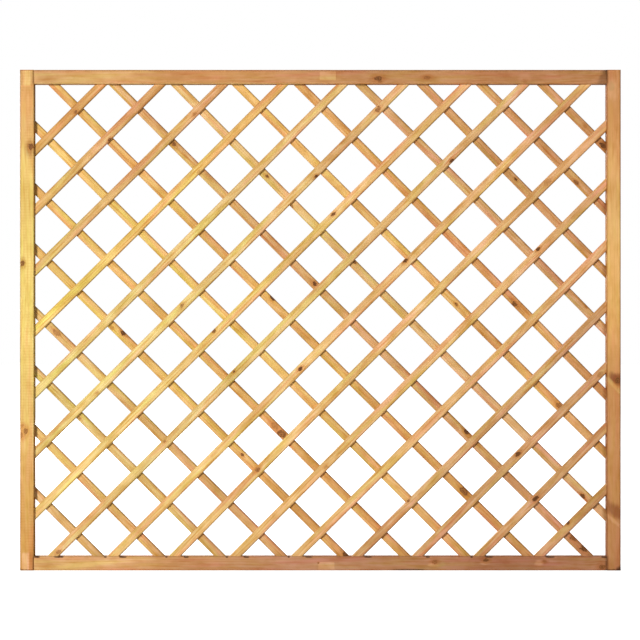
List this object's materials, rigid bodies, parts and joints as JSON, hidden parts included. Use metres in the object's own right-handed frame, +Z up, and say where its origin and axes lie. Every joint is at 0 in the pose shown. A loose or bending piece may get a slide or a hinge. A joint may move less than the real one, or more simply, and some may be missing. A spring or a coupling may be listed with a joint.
{
  "type": "trellis panel",
  "caption": "Framed diagonal trellis panel: two crossed layers of mitred softwood laths seated in a grooved timber frame, for climbing plants or as an open screen.",
  "frame": {"origin": "middle of the panel's lower edge, half way through its depth", "axes": "+X along the panel's width, to the right as seen from the front; +Y through its depth, from the front to the back; +Z up"},
  "size_m": [1.8, 0.042, 1.5],
  "materials": {
    "stile_wood": "planed and oiled pine",
    "rail_wood": "planed and oiled pine",
    "front_lath_wood": "planed and oiled pine",
    "rear_lath_wood": "planed and oiled pine",
    "screw_steel": "yellow zinc"
  },
  "bodies": {
    "root": {"left_stile": "stile_wood", "right_stile": "stile_wood", "bottom_rail": "rail_wood", "top_rail": "rail_wood", "front_lath_01": "front_lath_wood", "front_lath_02": "front_lath_wood", "front_lath_03": "front_lath_wood", "front_lath_04": "front_lath_wood", "front_lath_05": "front_lath_wood", "front_lath_06": "front_lath_wood", "front_lath_07": "front_lath_wood", "front_lath_08": "front_lath_wood", "front_lath_09": "front_lath_wood", "front_lath_10": "front_lath_wood", "front_lath_11": "front_lath_wood", "front_lath_12": "front_lath_wood", "front_lath_13": "front_lath_wood", "front_lath_14": "front_lath_wood", "front_lath_15": "front_lath_wood", "front_lath_16": "front_lath_wood", "rear_lath_01": "rear_lath_wood", "rear_lath_02": "rear_lath_wood", "rear_lath_03": "rear_lath_wood", "rear_lath_04": "rear_lath_wood", "rear_lath_05": "rear_lath_wood", "rear_lath_06": "rear_lath_wood", "rear_lath_07": "rear_lath_wood", "rear_lath_08": "rear_lath_wood", "rear_lath_09": "rear_lath_wood", "rear_lath_10": "rear_lath_wood", "rear_lath_11": "rear_lath_wood", "rear_lath_12": "rear_lath_wood", "rear_lath_13": "rear_lath_wood", "rear_lath_14": "rear_lath_wood", "rear_lath_15": "rear_lath_wood", "rear_lath_16": "rear_lath_wood", "corner_screw_bottom_left_1": "screw_steel", "corner_screw_bottom_left_2": "screw_steel", "corner_screw_bottom_right_1": "screw_steel", "corner_screw_bottom_right_2": "screw_steel", "corner_screw_top_left_1": "screw_steel", "corner_screw_top_left_2": "screw_steel", "corner_screw_top_right_1": "screw_steel", "corner_screw_top_right_2": "screw_steel"}
  },
  "joints": []
}
